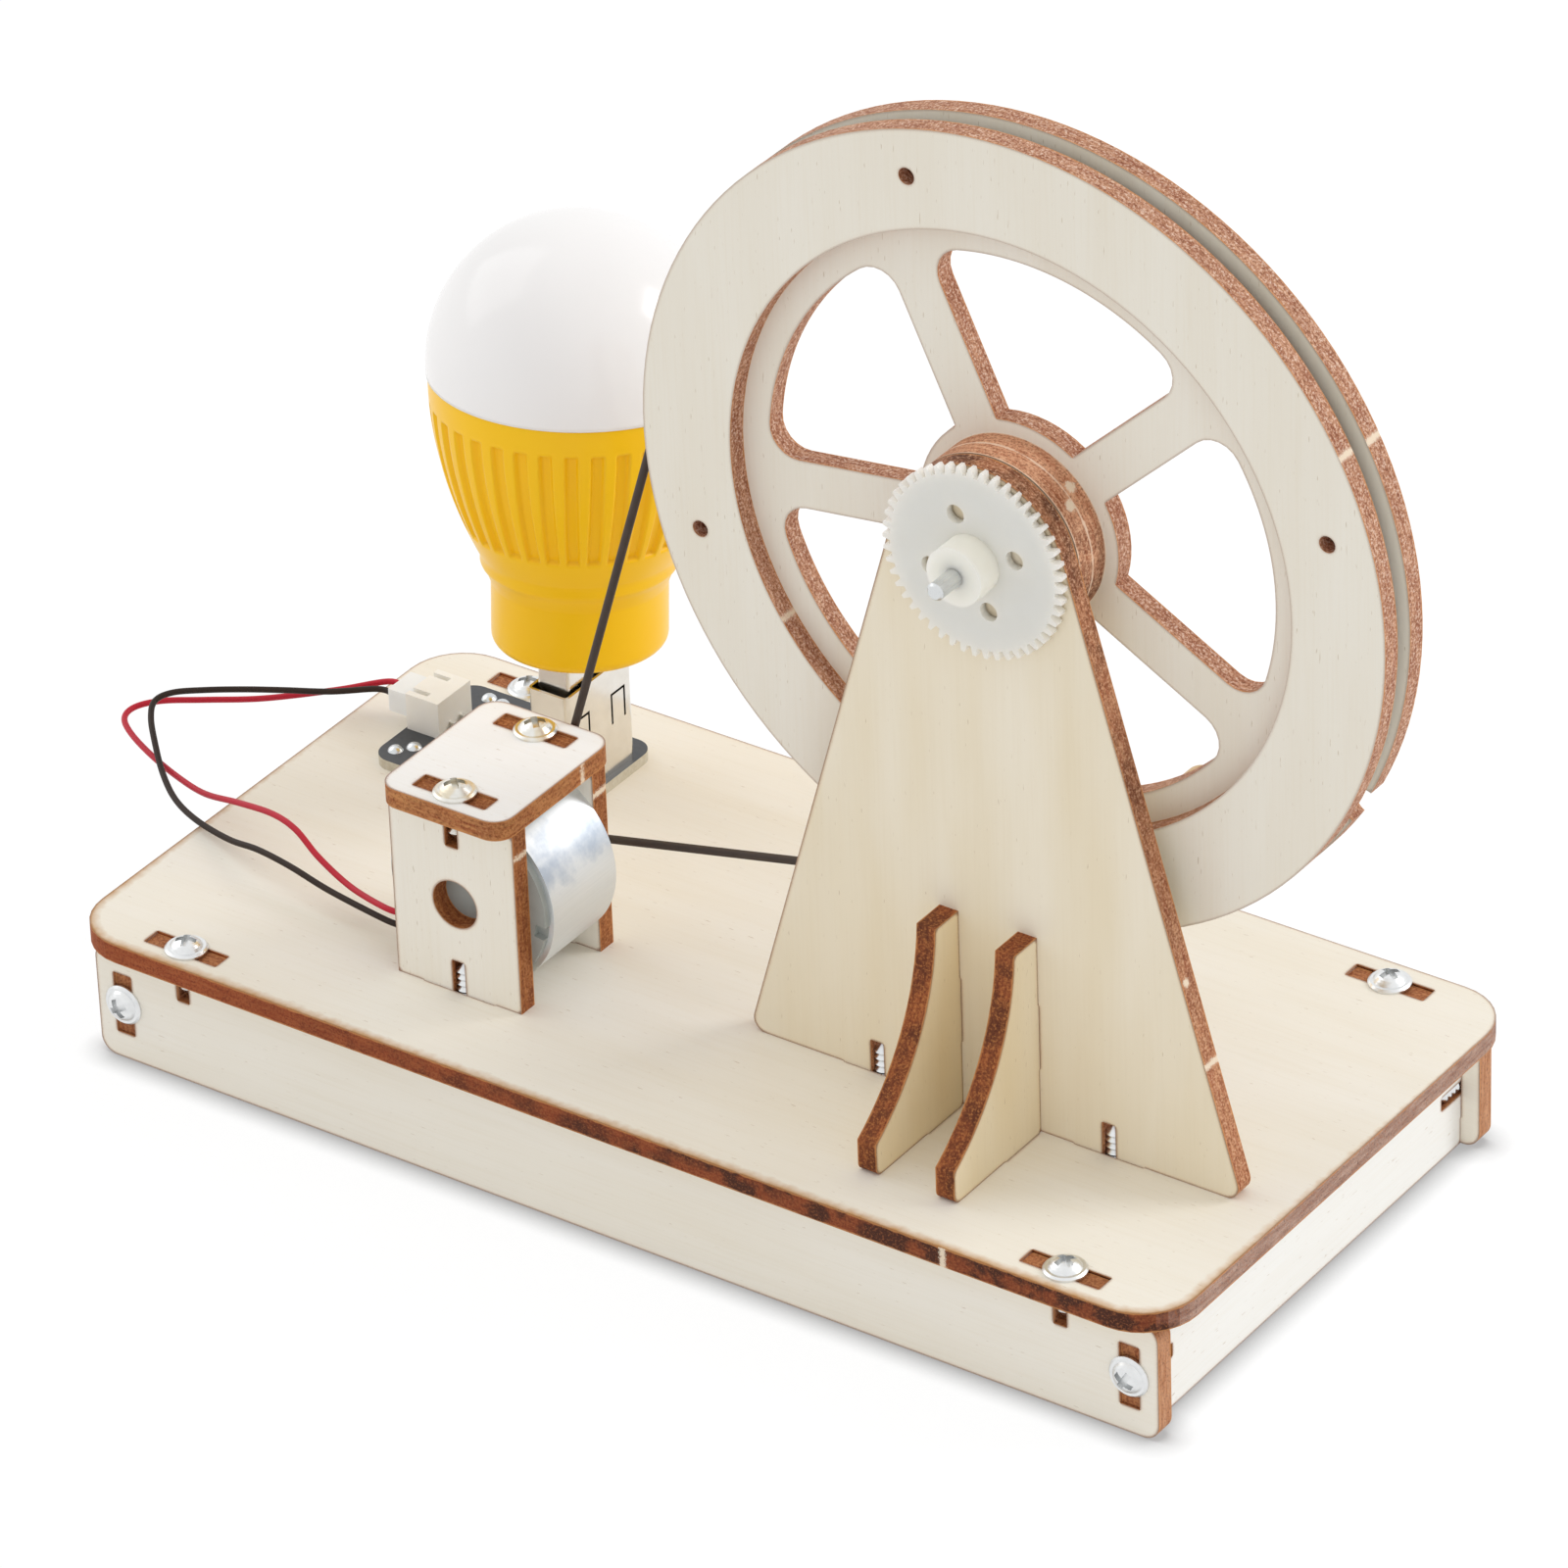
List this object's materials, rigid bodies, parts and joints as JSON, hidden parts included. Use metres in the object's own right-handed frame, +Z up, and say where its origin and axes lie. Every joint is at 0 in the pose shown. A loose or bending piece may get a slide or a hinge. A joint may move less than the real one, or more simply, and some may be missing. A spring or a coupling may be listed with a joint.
{
  "type": "hand crank generator model",
  "caption": "Plywood classroom generator: a spoked flywheel drives a small motor by a round belt, and a converter board with an upright socket lights a plug-in lamp.",
  "frame": {"origin": "the middle of the top board's length and width, on the surface that the panels stand on", "axes": "+X along the board to the flywheel's end, +Y from the crank support to the rear, +Z up"},
  "size_m": [0.2177, 0.0948, 0.1646],
  "materials": {
    "plywood": "laser-cut light plywood with burnt edges",
    "knob_wood": "turned light wood",
    "zinc_screw": "bright zinc plating",
    "axle_steel": "drawn bright steel",
    "gear_nylon": "milky moulded nylon",
    "can_steel": "drawn satin steel",
    "cap_plastic": "moulded grey plastic",
    "magnet": "sintered ferrite",
    "lamination": "stacked stampings",
    "copper_coil": "enamelled wire",
    "tab_brass": "stamped tabs",
    "belt_rubber": "matt moulded rubber",
    "board_laminate": "dark lacquer over glass laminate",
    "solder": "bright lumps",
    "socket_nylon": "moulded cream nylon",
    "pin_metal": "tinned",
    "plug_nylon": "moulded pale nylon",
    "plug_metal": "nickel plated",
    "insert_plastic": "moulded white plastic",
    "red_cover": "soft extruded cover",
    "black_cover": "soft extruded cover",
    "lamp_yellow": "glossy moulded plastic",
    "led_board": "white lacquer on aluminium",
    "opal": "opal moulded plastic"
  },
  "bodies": {
    "base": {"top_board": "plywood", "front_panel": "plywood", "rear_panel": "plywood", "left_end_panel": "plywood", "right_end_panel": "plywood", "support_frame": "plywood", "left_gusset": "plywood", "right_gusset": "plywood", "motor_front_plate": "plywood", "motor_rear_plate": "plywood", "motor_top_plate": "plywood", "board_screws": "zinc_screw", "corner_screws": "zinc_screw", "support_screws": "zinc_screw", "motor_top_screws": "zinc_screw", "motor_base_screws": "zinc_screw", "motor_can": "can_steel", "motor_end_cap": "cap_plastic", "motor_magnets": "magnet", "motor_terminals": "tab_brass", "drive_belt": "belt_rubber", "circuit_board": "board_laminate", "solder_joints": "solder", "wire_socket": "socket_nylon", "socket_pins": "pin_metal", "wire_plug": "plug_nylon", "usb_socket_shell": "plug_metal", "usb_socket_insert": "insert_plastic", "red_wire": "red_cover", "black_wire": "black_cover"},
    "wheel": {"front_ring": "plywood", "spoked_disc": "plywood", "rear_ring": "plywood", "front_hub_disc": "plywood", "rear_hub_disc": "plywood", "axle": "axle_steel", "retaining_gear": "gear_nylon", "ring_screws": "zinc_screw", "crank_screw": "zinc_screw"},
    "knob": {"crank_knob": "knob_wood"},
    "rotor": {"motor_armature": "lamination", "motor_coils": "copper_coil", "motor_shaft": "axle_steel", "drive_pulley": "gear_nylon"},
    "lamp": {"usb_plug_shell": "plug_metal", "usb_plug_insert": "insert_plastic", "lamp_body": "lamp_yellow", "led_plate": "led_board", "lamp_dome": "opal"}
  },
  "joints": [
    {"name": "wheel_spin", "type": "hinge", "parent": "base", "child": "wheel", "pos_m": [0.0442, -0.0042, 0.1072], "axis": [0, 1, 0], "continuous": true},
    {"name": "rotor_spin", "type": "hinge", "parent": "base", "child": "rotor", "pos_m": [-0.0337, -0.0042, 0.03525], "axis": [0, 1, 0], "continuous": true},
    {"name": "knob_spin", "type": "hinge", "parent": "wheel", "child": "knob", "pos_m": [0.0582, 0.0096, 0.05837], "axis": [0, 1, 0], "continuous": true},
    {"name": "lamp_pull", "type": "slide", "parent": "base", "child": "lamp", "axis": [-0.026, 0.1045, 0.9942], "range_m": [0, 0.02]}
  ],
  "couplings": [
    {"joint": "rotor_spin", "follows": "wheel_spin", "ratio": 28.947}
  ]
}
